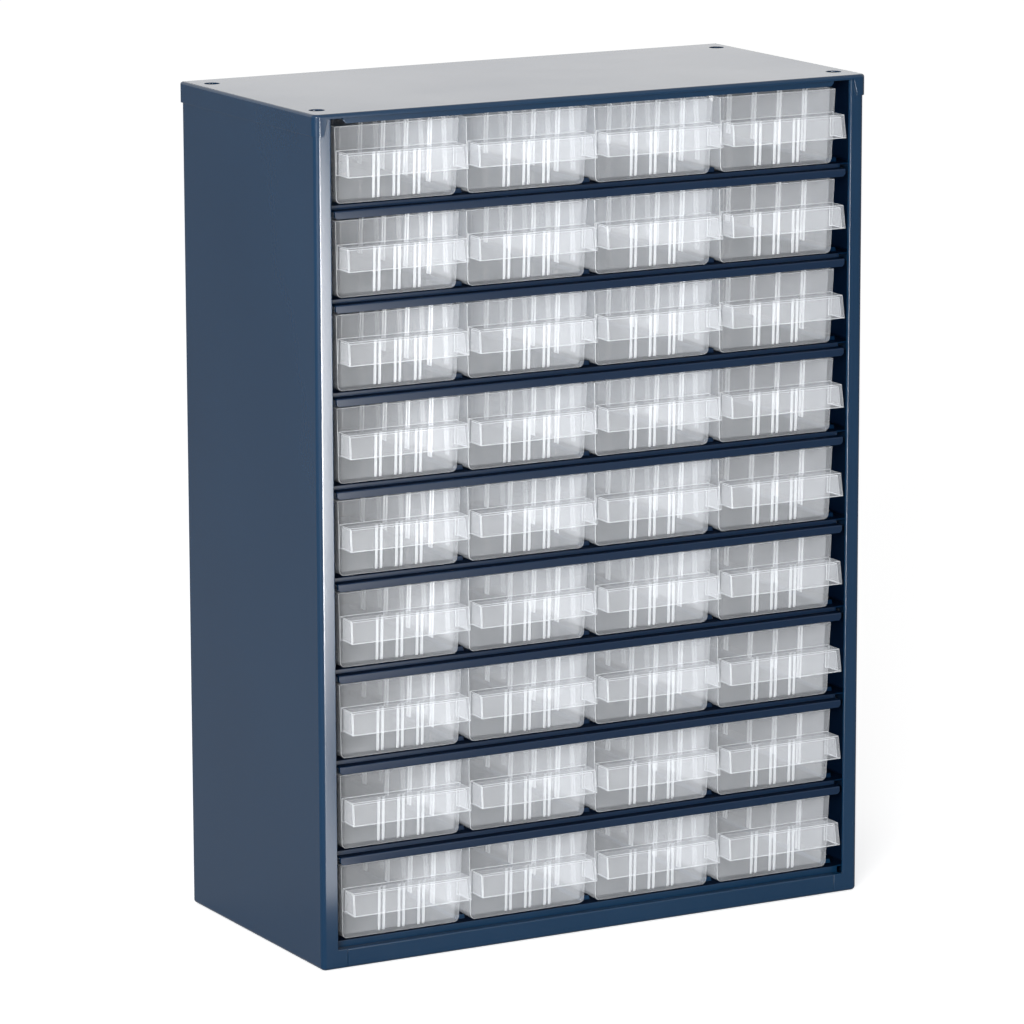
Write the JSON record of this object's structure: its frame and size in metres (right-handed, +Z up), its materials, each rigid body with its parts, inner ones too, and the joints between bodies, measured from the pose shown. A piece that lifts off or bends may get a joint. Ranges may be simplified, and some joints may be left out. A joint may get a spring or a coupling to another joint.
{
  "type": "parts bin cabinet",
  "caption": "Folded steel small-parts cabinet with a grid of tapered clear plastic drawers that slide out by a hooded pull.",
  "frame": {"origin": "middle of the cabinet's footprint on the floor, with the drawers closed and their hoods counted in the depth", "axes": "+Z up, -Y is the front with the drawers, +X is to the right of someone facing the front"},
  "size_m": [0.306, 0.15, 0.417],
  "materials": {
    "painted_steel": "smooth glossy dark blue powder coat",
    "clear_plastic": "clear, slightly milky moulded polypropylene"
  },
  "bodies": {
    "cabinet": {"body_wrap": "painted_steel", "top_cap": "painted_steel", "back_panel": "painted_steel", "floor_deck": "painted_steel", "shelf_1": "painted_steel", "shelf_2": "painted_steel", "shelf_3": "painted_steel", "shelf_4": "painted_steel", "shelf_5": "painted_steel", "shelf_6": "painted_steel", "shelf_7": "painted_steel", "shelf_8": "painted_steel"},
    "tray_row1_col1": {"drawer_row1_col1": "clear_plastic"},
    "tray_row1_col2": {"drawer_row1_col2": "clear_plastic"},
    "tray_row1_col3": {"drawer_row1_col3": "clear_plastic"},
    "tray_row1_col4": {"drawer_row1_col4": "clear_plastic"},
    "tray_row2_col1": {"drawer_row2_col1": "clear_plastic"},
    "tray_row2_col2": {"drawer_row2_col2": "clear_plastic"},
    "tray_row2_col3": {"drawer_row2_col3": "clear_plastic"},
    "tray_row2_col4": {"drawer_row2_col4": "clear_plastic"},
    "tray_row3_col1": {"drawer_row3_col1": "clear_plastic"},
    "tray_row3_col2": {"drawer_row3_col2": "clear_plastic"},
    "tray_row3_col3": {"drawer_row3_col3": "clear_plastic"},
    "tray_row3_col4": {"drawer_row3_col4": "clear_plastic"},
    "tray_row4_col1": {"drawer_row4_col1": "clear_plastic"},
    "tray_row4_col2": {"drawer_row4_col2": "clear_plastic"},
    "tray_row4_col3": {"drawer_row4_col3": "clear_plastic"},
    "tray_row4_col4": {"drawer_row4_col4": "clear_plastic"},
    "tray_row5_col1": {"drawer_row5_col1": "clear_plastic"},
    "tray_row5_col2": {"drawer_row5_col2": "clear_plastic"},
    "tray_row5_col3": {"drawer_row5_col3": "clear_plastic"},
    "tray_row5_col4": {"drawer_row5_col4": "clear_plastic"},
    "tray_row6_col1": {"drawer_row6_col1": "clear_plastic"},
    "tray_row6_col2": {"drawer_row6_col2": "clear_plastic"},
    "tray_row6_col3": {"drawer_row6_col3": "clear_plastic"},
    "tray_row6_col4": {"drawer_row6_col4": "clear_plastic"},
    "tray_row7_col1": {"drawer_row7_col1": "clear_plastic"},
    "tray_row7_col2": {"drawer_row7_col2": "clear_plastic"},
    "tray_row7_col3": {"drawer_row7_col3": "clear_plastic"},
    "tray_row7_col4": {"drawer_row7_col4": "clear_plastic"},
    "tray_row8_col1": {"drawer_row8_col1": "clear_plastic"},
    "tray_row8_col2": {"drawer_row8_col2": "clear_plastic"},
    "tray_row8_col3": {"drawer_row8_col3": "clear_plastic"},
    "tray_row8_col4": {"drawer_row8_col4": "clear_plastic"},
    "tray_row9_col1": {"drawer_row9_col1": "clear_plastic"},
    "tray_row9_col2": {"drawer_row9_col2": "clear_plastic"},
    "tray_row9_col3": {"drawer_row9_col3": "clear_plastic"},
    "tray_row9_col4": {"drawer_row9_col4": "clear_plastic"}
  },
  "joints": [
    {"name": "slide_row1_col1", "type": "slide", "parent": "cabinet", "child": "tray_row1_col1", "axis": [0, -1, 0], "range_m": [0, 0.11]},
    {"name": "slide_row1_col2", "type": "slide", "parent": "cabinet", "child": "tray_row1_col2", "axis": [0, -1, 0], "range_m": [0, 0.11]},
    {"name": "slide_row1_col3", "type": "slide", "parent": "cabinet", "child": "tray_row1_col3", "axis": [0, -1, 0], "range_m": [0, 0.11]},
    {"name": "slide_row1_col4", "type": "slide", "parent": "cabinet", "child": "tray_row1_col4", "axis": [0, -1, 0], "range_m": [0, 0.11]},
    {"name": "slide_row2_col1", "type": "slide", "parent": "cabinet", "child": "tray_row2_col1", "axis": [0, -1, 0], "range_m": [0, 0.11]},
    {"name": "slide_row2_col2", "type": "slide", "parent": "cabinet", "child": "tray_row2_col2", "axis": [0, -1, 0], "range_m": [0, 0.11]},
    {"name": "slide_row2_col3", "type": "slide", "parent": "cabinet", "child": "tray_row2_col3", "axis": [0, -1, 0], "range_m": [0, 0.11]},
    {"name": "slide_row2_col4", "type": "slide", "parent": "cabinet", "child": "tray_row2_col4", "axis": [0, -1, 0], "range_m": [0, 0.11]},
    {"name": "slide_row3_col1", "type": "slide", "parent": "cabinet", "child": "tray_row3_col1", "axis": [0, -1, 0], "range_m": [0, 0.11]},
    {"name": "slide_row3_col2", "type": "slide", "parent": "cabinet", "child": "tray_row3_col2", "axis": [0, -1, 0], "range_m": [0, 0.11]},
    {"name": "slide_row3_col3", "type": "slide", "parent": "cabinet", "child": "tray_row3_col3", "axis": [0, -1, 0], "range_m": [0, 0.11]},
    {"name": "slide_row3_col4", "type": "slide", "parent": "cabinet", "child": "tray_row3_col4", "axis": [0, -1, 0], "range_m": [0, 0.11]},
    {"name": "slide_row4_col1", "type": "slide", "parent": "cabinet", "child": "tray_row4_col1", "axis": [0, -1, 0], "range_m": [0, 0.11]},
    {"name": "slide_row4_col2", "type": "slide", "parent": "cabinet", "child": "tray_row4_col2", "axis": [0, -1, 0], "range_m": [0, 0.11]},
    {"name": "slide_row4_col3", "type": "slide", "parent": "cabinet", "child": "tray_row4_col3", "axis": [0, -1, 0], "range_m": [0, 0.11]},
    {"name": "slide_row4_col4", "type": "slide", "parent": "cabinet", "child": "tray_row4_col4", "axis": [0, -1, 0], "range_m": [0, 0.11]},
    {"name": "slide_row5_col1", "type": "slide", "parent": "cabinet", "child": "tray_row5_col1", "axis": [0, -1, 0], "range_m": [0, 0.11]},
    {"name": "slide_row5_col2", "type": "slide", "parent": "cabinet", "child": "tray_row5_col2", "axis": [0, -1, 0], "range_m": [0, 0.11]},
    {"name": "slide_row5_col3", "type": "slide", "parent": "cabinet", "child": "tray_row5_col3", "axis": [0, -1, 0], "range_m": [0, 0.11]},
    {"name": "slide_row5_col4", "type": "slide", "parent": "cabinet", "child": "tray_row5_col4", "axis": [0, -1, 0], "range_m": [0, 0.11]},
    {"name": "slide_row6_col1", "type": "slide", "parent": "cabinet", "child": "tray_row6_col1", "axis": [0, -1, 0], "range_m": [0, 0.11]},
    {"name": "slide_row6_col2", "type": "slide", "parent": "cabinet", "child": "tray_row6_col2", "axis": [0, -1, 0], "range_m": [0, 0.11]},
    {"name": "slide_row6_col3", "type": "slide", "parent": "cabinet", "child": "tray_row6_col3", "axis": [0, -1, 0], "range_m": [0, 0.11]},
    {"name": "slide_row6_col4", "type": "slide", "parent": "cabinet", "child": "tray_row6_col4", "axis": [0, -1, 0], "range_m": [0, 0.11]},
    {"name": "slide_row7_col1", "type": "slide", "parent": "cabinet", "child": "tray_row7_col1", "axis": [0, -1, 0], "range_m": [0, 0.11]},
    {"name": "slide_row7_col2", "type": "slide", "parent": "cabinet", "child": "tray_row7_col2", "axis": [0, -1, 0], "range_m": [0, 0.11]},
    {"name": "slide_row7_col3", "type": "slide", "parent": "cabinet", "child": "tray_row7_col3", "axis": [0, -1, 0], "range_m": [0, 0.11]},
    {"name": "slide_row7_col4", "type": "slide", "parent": "cabinet", "child": "tray_row7_col4", "axis": [0, -1, 0], "range_m": [0, 0.11]},
    {"name": "slide_row8_col1", "type": "slide", "parent": "cabinet", "child": "tray_row8_col1", "axis": [0, -1, 0], "range_m": [0, 0.11]},
    {"name": "slide_row8_col2", "type": "slide", "parent": "cabinet", "child": "tray_row8_col2", "axis": [0, -1, 0], "range_m": [0, 0.11]},
    {"name": "slide_row8_col3", "type": "slide", "parent": "cabinet", "child": "tray_row8_col3", "axis": [0, -1, 0], "range_m": [0, 0.11]},
    {"name": "slide_row8_col4", "type": "slide", "parent": "cabinet", "child": "tray_row8_col4", "axis": [0, -1, 0], "range_m": [0, 0.11]},
    {"name": "slide_row9_col1", "type": "slide", "parent": "cabinet", "child": "tray_row9_col1", "axis": [0, -1, 0], "range_m": [0, 0.11]},
    {"name": "slide_row9_col2", "type": "slide", "parent": "cabinet", "child": "tray_row9_col2", "axis": [0, -1, 0], "range_m": [0, 0.11]},
    {"name": "slide_row9_col3", "type": "slide", "parent": "cabinet", "child": "tray_row9_col3", "axis": [0, -1, 0], "range_m": [0, 0.11]},
    {"name": "slide_row9_col4", "type": "slide", "parent": "cabinet", "child": "tray_row9_col4", "axis": [0, -1, 0], "range_m": [0, 0.11]}
  ]
}
